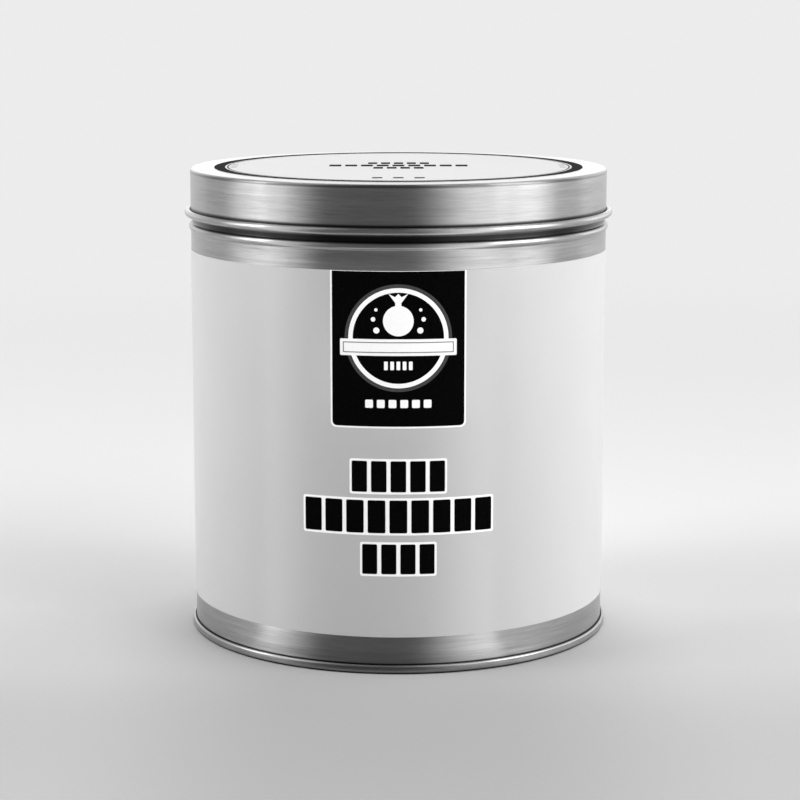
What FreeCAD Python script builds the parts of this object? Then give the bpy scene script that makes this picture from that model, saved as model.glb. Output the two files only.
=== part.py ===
import FreeCAD, Part
import math
import os
import Sketcher

# A round slip-lid tin of gymnast's chalk, at real size in millimetres.
# The origin is the centre of the foot, +Z is up and the front faces -Y.
# The tin is tinplate: a rolled wall, a bottom hooked to it in a double seam, and a lid that
# slips over the necked-in top. Inside stand three gathered cotton balls filled with chalk.

DRIVING = {
    # the tin
    "body_radius": 54.0,
    "plate": 0.28,
    "overall_height": 120.8,
    # the double seam at the foot
    "lap_gap": 0.02,
    "seam_height": 2.2,
    "seam_corner": 0.35,
    "cover_hook": 0.7,
    "hook_gap": 0.15,
    "compound_room": 0.34,
    "compound_width": 0.56,
    "bottom_depth": 3.72,
    "bottom_corner": 0.8,
    "bottom_ring_radius": 43.0,
    "bottom_step_radius": 1.5,
    "bottom_step_turn": 35.0,
    # the shoulder bead, the neck and its curled rim
    "bead_foot": 104.75,
    "bead_proud": 0.5,
    "bead_radius": 0.9,
    "bead_lower_turn": 50.0,
    "bead_upper_turn": 65.0,
    "neck_inset": 0.38,
    "rim_radius": 0.65,
    "rim_turn": 300.0,
    "rim_to_lid": 0.14,
    # the lid
    "lid_proud": 0.05,
    "lid_corner": 0.66,
    "lid_foot": 108.5,
    "lid_curl_radius": 0.775,
    "lid_curl_turn": 300.0,
    # the paper labels
    "paper": 0.1,
    "glue": 0.02,
    "lid_label_radius": 47.9,
    "wrap_foot": 9.25,
    "wrap_head": 100.0,
    "wrap_lap_angle": 8.0,
    # the chalk balls
    "ball_spread": 28.6,
    "ball_radius": 24.4,
    "ball_floor_gap": 0.1,
    "cloth": 0.5,
    "chalk_gap": 0.05,
    "ball_flat": 7.0,
    "ball_side": 2.0,
    "ball_shoulder_radius": 22.0,
    "ball_shoulder_turn": 70.0,
    "ball_neck_radius": 4.3,
    "ball_neck_height": 5.6,
    "tuft_radius": 8.0,
    "tuft_turn": 40.0,
    "tuft_length": 7.0,
    "tuft_lip_radius": 9.0,
    "tuft_lip_turn": 28.0,
    # the elastic band round each ball's neck
    "band_gap": 0.05,
    "band_thickness": 1.2,
    "band_height": 4.4,
}

UP = 90.0
DOWN = 270.0
OUTWARDS = 0.0
BACK = 90.0
QUARTER_TURN = 90.0
FULL_TURN = 360.0
BALL_ANGLES = (-90.0, 30.0, 150.0)
ZERO_SIZE = 1e-9
FACTOR_DIGITS = 12


class Size:
    """A length that carries both its number and the sheet expression behind it."""

    def __init__(self, number, text):
        self.number = number
        self.text = text

    def __add__(self, other):
        if not other.text:
            return self
        if not self.text:
            return other
        return Size(self.number + other.number, f"{self.text} + {other.text}")

    def __neg__(self):
        return self * -1.0

    def __sub__(self, other):
        return self + (-other)

    def __mul__(self, factor):
        factor = round(factor, FACTOR_DIGITS)
        if factor == 0.0 or not self.text:
            return NOTHING
        if factor == 1.0:
            return self
        return Size(self.number * factor, f"({self.text}) * {factor!r}")

    def __truediv__(self, divisor):
        return self * (1.0 / divisor)


NOTHING = Size(0.0, "")


class Corner:
    """One corner of an outline; radius and side describe the arc that arrives at it."""

    def __init__(self, across, up, radius=None, side=0):
        self.across = across
        self.up = up
        self.radius = radius
        self.side = side

    def point(self):
        return FreeCAD.Vector(self.across.number, self.up.number, 0.0)


def cosine(degrees):
    return math.cos(math.radians(degrees))


def sine(degrees):
    return math.sin(math.radians(degrees))


class Path:
    """A line of straight runs and bends, walked from its start like the middle of a sheet."""

    def __init__(self, across, up, heading):
        self.start = (across, up)
        self.heading = heading
        self.pieces = []

    def run(self, length):
        self.pieces.append((length, 0.0))
        return self

    def bend(self, turn, radius):
        parts = math.ceil(abs(turn) / QUARTER_TURN)
        for _ in range(parts):
            self.pieces.append((radius, turn / parts))
        return self

    def corners(self, left):
        """The corners of the line that runs at a distance to the left of this one."""
        across, up = self.start
        heading = self.heading
        found = [Corner(across - left * sine(heading), up + left * cosine(heading))]
        for amount, turn in self.pieces:
            radius = None
            side = 0
            if turn:
                side = math.copysign(1.0, turn)
                after = heading + turn
                across = across + amount * (side * (sine(after) - sine(heading)))
                up = up + amount * (side * (cosine(heading) - cosine(after)))
                heading = after
                radius = amount - left * side
            else:
                across = across + amount * cosine(heading)
                up = up + amount * sine(heading)
            here = (across - left * sine(heading), up + left * cosine(heading))
            found.append(Corner(*here, radius, side))
        return found

    def ribbon(self, thickness):
        """The outline of a sheet of this thickness whose middle is this line."""
        there = self.corners(thickness / -2.0)
        other = self.corners(thickness / 2.0)
        back = [Corner(other[-1].across, other[-1].up)]
        for arriving, corner in zip(reversed(other), reversed(other[:-1])):
            back.append(Corner(corner.across, corner.up, arriving.radius, -arriving.side))
        return there + back


def rectangle(inner, outer, foot, head):
    """The outline of a plain rectangle between two radii and two heights."""
    return [Corner(inner, foot), Corner(outer, foot), Corner(outer, head), Corner(inner, head)]


def edge_between(here, there):
    """The line or arc between two corners, and the ends by which the sketch knows them."""
    if there.radius is None:
        return Part.LineSegment(here.point(), there.point()), 1, 2
    chord = there.point() - here.point()
    half = chord.Length / 2.0
    rise = math.sqrt(max(there.radius.number**2 - half**2, 0.0))
    left_of_chord = FreeCAD.Vector(-chord.y, chord.x, 0.0).normalize()
    centre = here.point() + chord * 0.5 + left_of_chord * (rise * there.side)
    circle = Part.Circle(centre, FreeCAD.Vector(0, 0, 1), there.radius.number)
    ends = (here, there) if there.side > 0 else (there, here)
    angles = [math.atan2(e.point().y - centre.y, e.point().x - centre.x) for e in ends]
    arc = Part.ArcOfCircle(circle, *angles)
    return (arc, 1, 2) if there.side > 0 else (arc, 2, 1)


def bind(sketch, kind, where, size):
    """Add one dimension to a sketch and bind it to the sheet."""
    index = sketch.addConstraint(Sketcher.Constraint(kind, *where, size.number))
    sketch.setExpression(f"Constraints[{index}]", size.text)


def pin(sketch, edge, end, corner):
    """Fix one end of an edge at its corner, on the axes where the corner lies on them."""
    if abs(corner.across.number) < ZERO_SIZE:
        sketch.addConstraint(Sketcher.Constraint("PointOnObject", edge, end, -2))
    else:
        bind(sketch, "DistanceX", (-1, 1, edge, end), corner.across)
    if abs(corner.up.number) < ZERO_SIZE:
        sketch.addConstraint(Sketcher.Constraint("PointOnObject", edge, end, -1))
    else:
        bind(sketch, "DistanceY", (-1, 1, edge, end), corner.up)


def draw(sketch, outline):
    """Draw a closed outline, with every corner and every radius bound to the sheet."""
    edges = []
    for number, here in enumerate(outline):
        there = outline[(number + 1) % len(outline)]
        shape, first_end, last_end = edge_between(here, there)
        edge = sketch.addGeometry(shape, False)
        pin(sketch, edge, first_end, here)
        if there.radius is not None:
            bind(sketch, "Radius", (edge,), there.radius)
        edges.append((edge, first_end, last_end))
    for before, after in zip(edges, edges[1:] + edges[:1]):
        meeting = (before[0], before[2], after[0], after[1])
        sketch.addConstraint(Sketcher.Constraint("Coincident", *meeting))


def new_body(label):
    body = doc.addObject("PartDesign::Body", label)
    body.Label = label
    return body


def new_sketch(body, name, plane, outline):
    """A sketch on one of the body's own origin planes, holding one outline."""
    sketch = body.newObject("Sketcher::SketchObject", f"{body.Label}_{name}")
    planes = {feature.Role: feature for feature in body.Origin.OriginFeatures}
    sketch.AttachmentSupport = [(planes[plane], "")]
    sketch.MapMode = "FlatFace"
    draw(sketch, outline)
    return sketch


def revolve(body, name, outline):
    """Turn an outline once round the upright axis of its body."""
    sketch = new_sketch(body, f"{name}_profile", "XZ_Plane", outline)
    turned = body.newObject("PartDesign::Revolution", f"{body.Label}_{name}")
    turned.Profile = sketch
    turned.ReferenceAxis = (sketch, ["V_Axis"])
    turned.Angle = FULL_TURN
    sketch.Visibility = False
    return turned


def place(body, x, y, z):
    """Put a body where its sizes say."""
    for axis, size in (("x", x), ("y", y), ("z", z)):
        if size.text:
            body.setExpression(f"Placement.Base.{axis}", size.text)


def make_sheet():
    sheet = doc.addObject("Spreadsheet::Sheet", "dims")
    for row, (name, number) in enumerate(DRIVING.items(), start=1):
        sheet.set(f"A{row}", name)
        sheet.set(f"B{row}", str(number))
        sheet.setAlias(f"B{row}", name)
    doc.recompute()
    return sheet


def size(name):
    """One driving dimension, read from the sheet."""
    return Size(float(sheet.get(name)), f"dims.{name}")


def angle(name):
    return size(name).number


def body_shell():
    """The wall: hooked at the foot, beaded at the shoulder, necked in and curled at the rim."""
    hook_top = seam_top_centre() + layer_pitch - plate / 2.0 - size("hook_gap")
    lower_turn = angle("bead_lower_turn")
    upper_turn = angle("bead_upper_turn")
    bead_radius = size("bead_radius")
    bead_proud = size("bead_proud")
    lower_fillet = bead_proud / (1.0 - cosine(lower_turn)) - bead_radius
    upper_fillet = (bead_proud + neck_inset) / (1.0 - cosine(upper_turn)) - bead_radius
    bead_rise = (lower_fillet + bead_radius) * sine(lower_turn)
    bead_fall = (upper_fillet + bead_radius) * sine(upper_turn)
    bead_head = size("bead_foot") + bead_rise + bead_fall
    rim_radius = size("rim_radius")
    rim_centre = lid_underside - size("rim_to_lid") - plate / 2.0 - rim_radius
    wall = Path(body_middle + layer_pitch * 2.0, hook_top, DOWN)
    wall.run(hook_top - wall_hook_centre)
    wall.bend(-2.0 * QUARTER_TURN, layer_pitch)
    wall.run(size("bead_foot") - wall_hook_centre)
    wall.bend(-lower_turn, lower_fillet)
    wall.bend(lower_turn, bead_radius)
    wall.bend(upper_turn, bead_radius)
    wall.bend(-upper_turn, upper_fillet)
    wall.run(rim_centre - bead_head)
    wall.bend(angle("rim_turn"), rim_radius)
    revolve(new_body("body_shell"), "wall", wall.ribbon(plate))


def seam_top_centre():
    """The height at which the cover hook turns over inside the top of the seam."""
    return size("seam_height") - plate / 2.0 - layer_pitch


def bottom_end():
    """The bottom: a stepped panel set up inside the wall, hooked round the wall's foot."""
    step_turn = angle("bottom_step_turn")
    step_radius = size("bottom_step_radius")
    step_run = step_radius * (2.0 * sine(step_turn))
    corner = size("bottom_corner")
    seam_corner = size("seam_corner")
    flat = layer_pitch * 4.0 - seam_corner * 2.0
    ring = size("bottom_ring_radius")
    end = Path(NOTHING, panel_middle, OUTWARDS)
    end.run(ring)
    end.bend(-step_turn, step_radius)
    end.bend(step_turn, step_radius)
    end.run(body_middle - layer_pitch - corner - ring - step_run)
    end.bend(-QUARTER_TURN, corner)
    end.run(size("bottom_depth") - corner - seam_corner)
    end.bend(QUARTER_TURN, seam_corner)
    end.run(flat)
    end.bend(QUARTER_TURN, seam_corner)
    end.run(seam_top_centre() - seam_corner - plate / 2.0)
    end.bend(2.0 * QUARTER_TURN, layer_pitch)
    end.run(size("cover_hook"))
    revolve(new_body("bottom_end"), "plate", end.ribbon(plate))


def seam_compound():
    """The sealing ring, squeezed between the seam's floor and the wall's hook."""
    half_width = size("compound_width") / 2.0
    foot = plate + lap_gap
    head = plate + compound_room - lap_gap
    outline = rectangle(seam_middle - half_width, seam_middle + half_width, foot, head)
    revolve(new_body("seam_compound"), "ring", outline)


def lid_cap():
    """The lid: a flat panel, a skirt over the neck and an outward curl round its mouth."""
    curl = size("lid_curl_radius")
    corner = size("lid_corner")
    curl_centre = size("lid_foot") + plate / 2.0 + curl
    lid_middle = size("body_radius") + size("lid_proud") - plate / 2.0
    panel = lid_underside + plate / 2.0
    lid = Path(NOTHING, panel, OUTWARDS)
    lid.run(lid_middle - corner)
    lid.bend(-QUARTER_TURN, corner)
    lid.run(panel - corner - curl_centre)
    lid.bend(angle("lid_curl_turn"), curl)
    revolve(new_body("lid_cap"), "plate", lid.ribbon(plate))


def lid_label():
    """The round paper label on the lid's panel."""
    head = size("overall_height")
    outline = rectangle(NOTHING, size("lid_label_radius"), head - paper, head)
    revolve(new_body("lid_label"), "disc", outline)


def wrap_label():
    """The paper strip round the wall, with its glued lap at the back."""
    foot = size("wrap_foot")
    inner = size("body_radius") + size("glue")
    middle = inner + paper
    outer = middle + paper
    body = new_body("wrap_label")
    revolve(body, "strip", rectangle(inner, middle, foot, size("wrap_head")))
    half_lap = angle("wrap_lap_angle") / 2.0
    right = BACK - half_lap
    left = BACK + half_lap
    root = inner + paper / 2.0
    outline = [
        Corner(root * cosine(right), root * sine(right)),
        Corner(outer * cosine(right), outer * sine(right)),
        Corner(outer * cosine(left), outer * sine(left), outer, 1.0),
        Corner(root * cosine(left), root * sine(left)),
    ]
    outline[0].radius = root
    outline[0].side = -1.0
    sketch = new_sketch(body, "lap_outline", "XY_Plane", outline)
    sketch.setExpression("AttachmentOffset.Base.z", foot.text)
    lap = body.newObject("PartDesign::Pad", "wrap_label_lap")
    lap.Profile = sketch
    lap.setExpression("Length", (size("wrap_head") - foot).text)
    sketch.Visibility = False


def ball_belly():
    """The middle of a ball's cloth, from the centre of its base to the foot of its neck."""
    cloth = size("cloth")
    flat = size("ball_flat")
    side_radius = size("ball_radius") - cloth / 2.0
    shoulder_turn = angle("ball_shoulder_turn")
    shoulder = size("ball_shoulder_radius")
    neck_middle = size("ball_neck_radius") - cloth / 2.0
    gather = (side_radius - neck_middle) / (1.0 - cosine(shoulder_turn)) - shoulder
    belly = Path(NOTHING, cloth / 2.0, OUTWARDS)
    belly.run(flat)
    belly.bend(QUARTER_TURN, side_radius - flat)
    belly.run(size("ball_side"))
    belly.bend(shoulder_turn, shoulder)
    belly.bend(-shoulder_turn, gather)
    return belly


def chalk_sack(name, spot):
    """The cotton sack: a belly, a neck gathered solid, and an open flared tuft."""
    cloth = size("cloth")
    sack = ball_belly()
    neck_foot = sack.corners(NOTHING)[-1]
    neck_height = size("ball_neck_height")
    sack.run(neck_height)
    sack.bend(-angle("tuft_turn"), size("tuft_radius"))
    sack.run(size("tuft_length"))
    sack.bend(angle("tuft_lip_turn"), size("tuft_lip_radius"))
    body = new_body(name)
    revolve(body, "cloth", sack.ribbon(cloth))
    head = neck_foot.up + neck_height
    revolve(body, "gathers", rectangle(NOTHING, neck_foot.across, neck_foot.up + cloth, head))
    place(body, *spot)


def chalk_fill(name, spot):
    """The chalk that fills a sack up to the foot of its neck."""
    inset = size("cloth") / 2.0 + size("chalk_gap")
    outline = ball_belly().corners(inset)
    outline.append(Corner(NOTHING, outline[-1].up))
    body = new_body(name)
    revolve(body, "chalk", outline)
    place(body, *spot)


def neck_band(name, spot):
    """The closed elastic band round a sack's neck, with rounded edges."""
    neck_foot = ball_belly().corners(NOTHING)[-1]
    thickness = size("band_thickness")
    edge = thickness / 2.0
    straight = size("band_height") - thickness
    foot = neck_foot.up + (size("ball_neck_height") - straight) / 2.0
    inner = size("ball_neck_radius") + size("band_gap")
    band = Path(inner + thickness, foot, UP)
    band.run(straight)
    band.bend(2.0 * QUARTER_TURN, edge)
    band.run(straight)
    band.bend(2.0 * QUARTER_TURN, edge)
    outline = band.corners(NOTHING)
    closing = outline.pop()
    outline[0].radius = closing.radius
    outline[0].side = closing.side
    body = new_body(name)
    revolve(body, "loop", outline)
    place(body, *spot)


def chalk_balls():
    """Three balls standing in a ring on the tin's floor."""
    spread = size("ball_spread")
    floor = panel_middle + plate / 2.0 + size("ball_floor_gap")
    for number, turned in enumerate(BALL_ANGLES, start=1):
        spot = (spread * cosine(turned), spread * sine(turned), floor)
        chalk_sack(f"chalk_sack_{number}", spot)
        chalk_fill(f"chalk_fill_{number}", spot)
        neck_band(f"neck_band_{number}", spot)


def check(bodies):
    for body in bodies:
        for item in [body] + body.Group:
            if "Invalid" in item.State or "Error" in item.State:
                raise RuntimeError(f"{item.Label} didn't build: {item.State}")
        shape = body.Shape
        if shape.isNull() or not shape.isValid() or len(shape.Solids) != 1:
            raise RuntimeError(f"{body.Label} isn't one valid solid")


def write(bodies):
    os.makedirs("parts", exist_ok=True)
    for body in bodies:
        body.Shape.exportStep(os.path.join("parts", f"{body.Label}.step"))
        print(f"{body.Label}: {body.Shape.Volume:.0f} mm3")


doc = FreeCAD.newDocument("chalk_tin")
sheet = make_sheet()
plate = size("plate")
paper = size("paper")
lap_gap = size("lap_gap")
neck_inset = size("neck_inset")
compound_room = size("compound_room")
layer_pitch = plate + lap_gap
body_middle = size("body_radius") - plate / 2.0
seam_middle = body_middle + layer_pitch
wall_hook_centre = plate + compound_room + plate / 2.0 + layer_pitch
panel_middle = plate / 2.0 + size("bottom_depth") + (
    size("bottom_step_radius") * (2.0 * (1.0 - cosine(angle("bottom_step_turn"))))
)
lid_underside = size("overall_height") - paper - plate

body_shell()
bottom_end()
seam_compound()
lid_cap()
lid_label()
wrap_label()
chalk_balls()
doc.recompute()
made = [item for item in doc.Objects if item.TypeId == "PartDesign::Body"]
check(made)
write(made)
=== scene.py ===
import math

import bmesh
import bpy
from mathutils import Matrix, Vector, noise


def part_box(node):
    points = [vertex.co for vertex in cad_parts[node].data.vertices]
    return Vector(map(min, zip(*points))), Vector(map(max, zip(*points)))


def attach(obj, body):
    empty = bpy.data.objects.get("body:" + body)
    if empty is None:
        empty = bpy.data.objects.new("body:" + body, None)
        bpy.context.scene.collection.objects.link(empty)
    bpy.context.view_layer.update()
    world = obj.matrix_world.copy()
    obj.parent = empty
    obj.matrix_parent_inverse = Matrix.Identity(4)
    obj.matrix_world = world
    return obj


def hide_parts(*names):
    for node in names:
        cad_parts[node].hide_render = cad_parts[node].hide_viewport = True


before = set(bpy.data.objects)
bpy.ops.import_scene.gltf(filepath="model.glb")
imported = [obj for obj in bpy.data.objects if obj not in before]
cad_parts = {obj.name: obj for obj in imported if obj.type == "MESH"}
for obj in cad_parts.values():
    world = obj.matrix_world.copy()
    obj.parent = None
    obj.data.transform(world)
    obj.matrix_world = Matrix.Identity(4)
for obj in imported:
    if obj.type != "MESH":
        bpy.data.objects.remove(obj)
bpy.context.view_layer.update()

# A round slip-lid tin of gymnast's chalk, seen from the front (-Y).
# Lengths are in metres. MM turns the millimetres of the CAD sizes into them.
MM = 0.001

# sizes read from the frame
seam_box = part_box("bottom_end")
wall_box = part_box("body_shell")
lid_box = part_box("lid_cap")
disc_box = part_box("lid_label")
wrap_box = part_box("wrap_label")
WRAP_RADIUS = wrap_box[1].x
WRAP_FOOT = wrap_box[0].z
WRAP_HEAD = wrap_box[1].z
DISC_RADIUS = disc_box[1].x
DISC_FOOT = disc_box[0].z
TOP = disc_box[1].z
LID_TOP = lid_box[1].z
LID_FOOT = lid_box[0].z

# sheet metal and paper
PLATE = 0.28 * MM
LAP = 0.30 * MM
PAPER = 0.10 * MM
GLUE = 0.02 * MM
WALL_RADIUS = WRAP_RADIUS - PAPER - GLUE
WALL_MIDDLE = WALL_RADIUS - PLATE / 2
SEAM_HEIGHT = 2.2 * MM
SEAM_CORNER = 0.35 * MM

# degrees: how far round a curled rim turns, and the headings of a sheet's middle line
CURL = 300.0
UP = 90.0
DOWN = 270.0
OUTWARDS = 0.0

# radians: places round the tin
FRONT = -math.pi / 2
BACK = math.pi / 2
FULL_TURN = 2 * math.pi
ROUND_STEPS = 288
TOUCHING = 1e-7


# ---------------------------------------------------------------- shapes

class SheetPath:
    """The middle line of a formed sheet: (radius, height, heading) points along runs and bends."""

    def __init__(self, radius, height, heading):
        self.points = [(radius, height, heading)]

    def run(self, length, steps=1):
        """Go straight on."""
        radius, height, heading = self.points[-1]
        angle = math.radians(heading)
        for step in range(1, steps + 1):
            gone = length * step / steps
            here = (radius + gone * math.cos(angle), height + gone * math.sin(angle), heading)
            self.points.append(here)

    def bend(self, turn, bend_radius, step_degrees=10.0):
        """Turn by some degrees, to the left if they are above nought."""
        radius, height, heading = self.points[-1]
        side = math.copysign(1.0, turn)
        angle = math.radians(heading)
        centre_r = radius - side * bend_radius * math.sin(angle)
        centre_z = height + side * bend_radius * math.cos(angle)
        steps = max(2, math.ceil(abs(turn) / step_degrees))
        for step in range(1, steps + 1):
            now = heading + turn * step / steps
            angle = math.radians(now)
            here_r = centre_r + side * bend_radius * math.sin(angle)
            here_z = centre_z - side * bend_radius * math.cos(angle)
            self.points.append((here_r, here_z, now))

    def outline(self, thickness):
        """The closed outline of a sheet of this thickness along the line."""
        half = thickness / 2
        sides = ([], [])
        for radius, height, heading in self.points:
            angle = math.radians(heading)
            for side, away in zip(sides, (half, -half)):
                side.append((radius + away * math.sin(angle), height - away * math.cos(angle)))
        return sides[0] + sides[1][::-1]


def new_piece(name, mesh, body, material, *replaced, slot=None):
    """A finished mesh that rides on a body, wears a material and may stand for CAD nodes."""
    mesh.name = name
    piece = bpy.data.objects.new(name, mesh)
    bpy.context.scene.collection.objects.link(piece)
    mesh.materials.clear()
    mesh.materials.append(material)
    if replaced:
        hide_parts(*replaced)
    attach(piece, body)
    return piece


def finish_mesh(bm, smooth_degrees=None):
    """Turn an edited mesh into mesh data, smooth up to an angle between its faces."""
    bmesh.ops.recalc_face_normals(bm, faces=bm.faces)
    mesh = bpy.data.meshes.new("shape")
    bm.to_mesh(mesh)
    bm.free()
    if smooth_degrees:
        mesh.shade_smooth()
        mesh.set_sharp_from_angle(angle=math.radians(smooth_degrees))
    return mesh


def spin(outline, start=0.0, turn=FULL_TURN, steps=ROUND_STEPS, centre=(0.0, 0.0)):
    """A closed outline of (radius, height) turned about an upright axis."""
    bm = bmesh.new()
    whole = abs(turn - FULL_TURN) < TOUCHING
    stations = steps if whole else steps + 1
    rings = []
    for number in range(stations):
        angle = start + turn * number / steps
        aim = (math.cos(angle), math.sin(angle))
        ring = []
        for index, (radius, height) in enumerate(outline):
            on_axis = radius < TOUCHING
            if on_axis and number:
                ring.append(rings[0][index])
                continue
            ring.append(bm.verts.new((centre[0] + radius * aim[0],
                                      centre[1] + radius * aim[1], height)))
        rings.append(ring)
    pairs = list(zip(rings, rings[1:]))
    if whole:
        pairs.append((rings[-1], rings[0]))
    count = len(outline)
    for before, after in pairs:
        for index in range(count):
            following = (index + 1) % count
            corners = []
            for vert in (before[index], before[following], after[following], after[index]):
                if vert not in corners:
                    corners.append(vert)
            if len(corners) > 2:
                bm.faces.new(corners)
    if not whole:
        bm.faces.new(rings[0])
        bm.faces.new(rings[-1])
    return bm


def flat_shape(splines, thickness, cell=None):
    """Closed 2D outlines, holes allowed, filled and given a thickness, then cut into strips."""
    curve = bpy.data.curves.new("outline", "CURVE")
    curve.dimensions = "2D"
    curve.fill_mode = "BOTH"
    curve.extrude = thickness / 2
    for points in splines:
        spline = curve.splines.new("POLY")
        spline.points.add(len(points) - 1)
        for point, (x, y) in zip(spline.points, points):
            point.co = (x, y, 0.0, 1.0)
        spline.use_cyclic_u = True
    holder = bpy.data.objects.new("outline", curve)
    mesh = bpy.data.meshes.new_from_object(holder)
    bm = bmesh.new()
    bm.from_mesh(mesh)
    bpy.data.objects.remove(holder)
    bpy.data.curves.remove(curve)
    bpy.data.meshes.remove(mesh)
    bmesh.ops.remove_doubles(bm, verts=bm.verts, dist=thickness / 20)
    if cell:
        low = min(vert.co.x for vert in bm.verts)
        high = max(vert.co.x for vert in bm.verts)
        cuts = int((high - low) / cell)
        for cut in range(1, cuts + 1):
            where = (low + cell * cut, 0.0, 0.0)
            geometry = bm.verts[:] + bm.edges[:] + bm.faces[:]
            bmesh.ops.bisect_plane(bm, geom=geometry, dist=TOUCHING, plane_co=where,
                                   plane_no=(1.0, 0.0, 0.0))
    return bm


def wrap_round(bm, radius):
    """Bend a flat shape (x along the label, y up) round the tin, with x = 0 at the front."""
    for vert in bm.verts:
        along, up, lift = vert.co
        angle = FRONT + along / radius
        out = radius + lift
        vert.co = (out * math.cos(angle), out * math.sin(angle), up)
    return bm


def lay_flat(bm, height):
    """Lay a flat shape on the lid, with y towards the back."""
    bmesh.ops.translate(bm, verts=bm.verts, vec=(0.0, 0.0, height))
    return bm


def rounded_bar(x, y, width, height, corner, steps=5):
    """The outline of a bar centred at (x, y) with rounded corners."""
    corner = min(corner, width / 2, height / 2)
    points = []
    for number, (sx, sy) in enumerate(((1, 1), (-1, 1), (-1, -1), (1, -1))):
        centre_x = x + sx * (width / 2 - corner)
        centre_y = y + sy * (height / 2 - corner)
        for step in range(steps + 1):
            angle = math.pi / 2 * (number + step / steps)
            points.append((centre_x + corner * math.cos(angle),
                           centre_y + corner * math.sin(angle)))
    return points


def circle(x, y, radius, steps=72):
    """The outline of a circle."""
    turns = [FULL_TURN * step / steps for step in range(steps)]
    return [(x + radius * math.cos(turn), y + radius * math.sin(turn)) for turn in turns]


def ring(x, y, outer, inner, steps=72):
    """The two outlines of a flat ring."""
    return [circle(x, y, outer, steps), circle(x, y, inner, steps)]


# ------------------------------------------------------------- materials

def neutral(tone):
    """A colour without hue."""
    return (tone, tone, tone)


class Nodes:
    """A material's node tree, with short calls for the nodes used here."""

    def __init__(self, name):
        self.material = bpy.data.materials.new(name)
        self.material.use_nodes = True
        self.tree = self.material.node_tree
        self.shader = self.tree.nodes["Principled BSDF"]

    def add(self, kind, **settings):
        node = self.tree.nodes.new(kind)
        for key, value in settings.items():
            setattr(node, key, value)
        return node

    def join(self, source, target):
        self.tree.links.new(source, target)

    def set(self, **values):
        for name, value in values.items():
            self.shader.inputs[name.replace("_", " ")].default_value = value

    def math(self, operation, first, second=None):
        node = self.add("ShaderNodeMath", operation=operation)
        for socket, value in zip(node.inputs, (first, second)):
            if value is None:
                continue
            if isinstance(value, (int, float)):
                socket.default_value = value
            else:
                self.join(value, socket)
        return node.outputs[0]

    def total(self, *parts):
        """The sum of some values, each one given with its weight."""
        result = None
        for value, weight in parts:
            part = self.math("MULTIPLY", value, weight)
            result = part if result is None else self.math("ADD", result, part)
        return result

    def length(self, x, y):
        """The length of a vector with these two parts."""
        squares = self.math("ADD", self.math("MULTIPLY", x, x), self.math("MULTIPLY", y, y))
        return self.math("SQRT", squares)

    def position(self):
        """The place on the piece, in metres, as a vector and as x, y and z."""
        place = self.add("ShaderNodeTexCoord").outputs["Object"]
        split = self.add("ShaderNodeSeparateXYZ")
        self.join(place, split.inputs[0])
        return place, split.outputs[0], split.outputs[1], split.outputs[2]

    def vector(self, x, y, z):
        node = self.add("ShaderNodeCombineXYZ")
        for socket, value in zip(node.inputs, (x, y, z)):
            self.join(value, socket)
        return node.outputs[0]

    def noise(self, place, scale, detail=2.0, roughness=0.5):
        node = self.add("ShaderNodeTexNoise")
        self.join(place, node.inputs["Vector"])
        node.inputs["Scale"].default_value = scale
        node.inputs["Detail"].default_value = detail
        node.inputs["Roughness"].default_value = roughness
        return node.outputs["Fac"]

    def spread(self, value, low, high, start=0.0, stop=1.0, smooth=False):
        """Map a value from start..stop to low..high."""
        node = self.add("ShaderNodeMapRange")
        if smooth:
            node.interpolation_type = "SMOOTHSTEP"
        self.join(value, node.inputs["Value"])
        node.inputs["From Min"].default_value = start
        node.inputs["From Max"].default_value = stop
        node.inputs["To Min"].default_value = low
        node.inputs["To Max"].default_value = high
        return node.outputs["Result"]

    def mix(self, amount, first, second):
        """A colour between two colours."""
        node = self.add("ShaderNodeMix", data_type="RGBA")
        self.join(amount, node.inputs["Factor"])
        for socket, value in zip((node.inputs[6], node.inputs[7]), (first, second)):
            if isinstance(value, tuple):
                socket.default_value = (*value, 1.0)
            else:
                self.join(value, socket)
        return node.outputs[2]

    def bump(self, height, distance, strength=1.0, under=None):
        node = self.add("ShaderNodeBump")
        self.join(height, node.inputs["Height"])
        node.inputs["Distance"].default_value = distance
        node.inputs["Strength"].default_value = strength
        if under is not None:
            self.join(under, node.inputs["Normal"])
        self.join(node.outputs[0], self.shader.inputs["Normal"])
        return node.outputs[0]

    def colour(self, source):
        self.join(source, self.shader.inputs["Base Color"])

    def rough(self, source):
        self.join(source, self.shader.inputs["Roughness"])


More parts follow.
